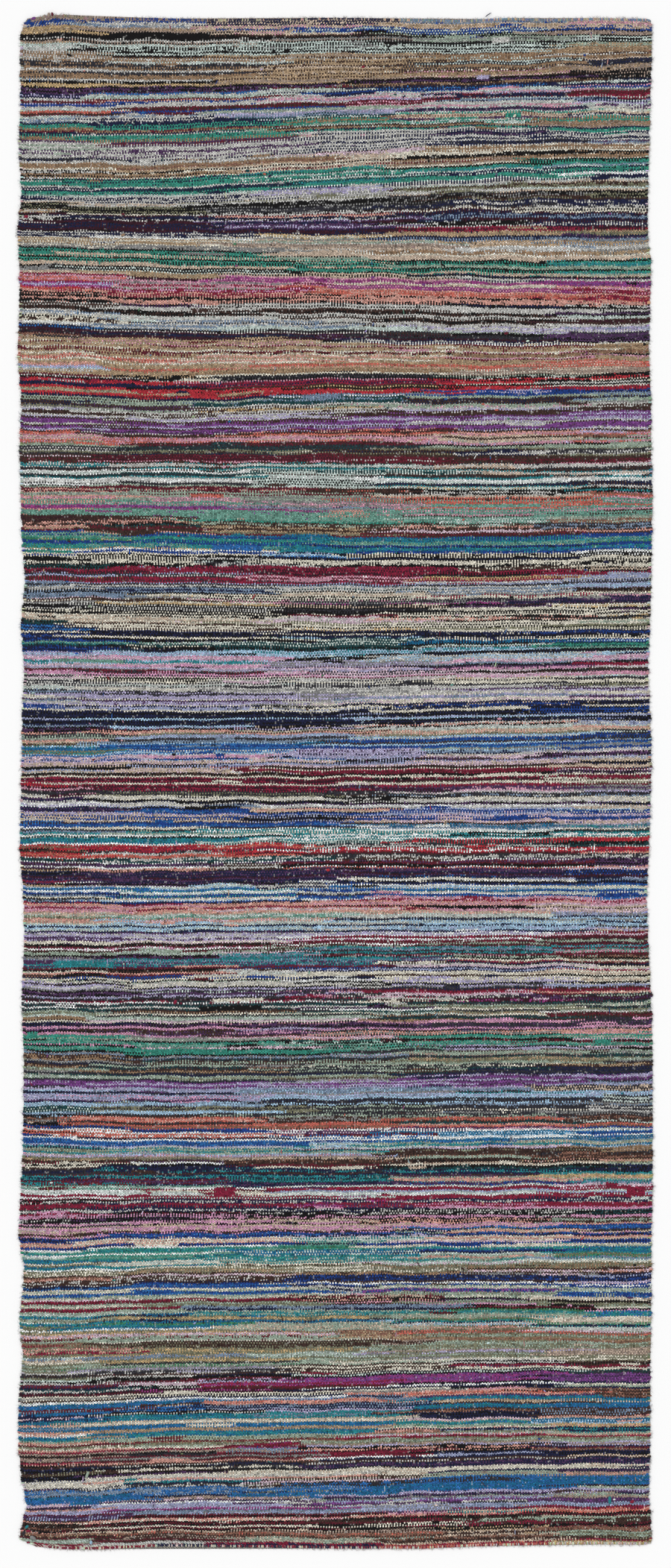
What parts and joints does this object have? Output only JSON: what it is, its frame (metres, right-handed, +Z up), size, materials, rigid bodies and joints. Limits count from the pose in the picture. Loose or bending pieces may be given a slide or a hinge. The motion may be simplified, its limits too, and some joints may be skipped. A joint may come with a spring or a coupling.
{
  "type": "kilim runner",
  "caption": "Long flat weft-faced kilim runner with uneven cross stripes, wandering selvedges and plain ends without fringe.",
  "frame": {"origin": "centre of the face that lies on the floor", "axes": "+Y along the runner to its head end, +X across it to the right selvedge, +Z up out of the face"},
  "size_m": [1.4112, 3.413, 0.003],
  "materials": {
    "weave": "matt hand-woven striped wool and cotton, mixed recycled yarns"
  },
  "bodies": {
    "root": {"woven_runner": "weave"}
  },
  "joints": []
}
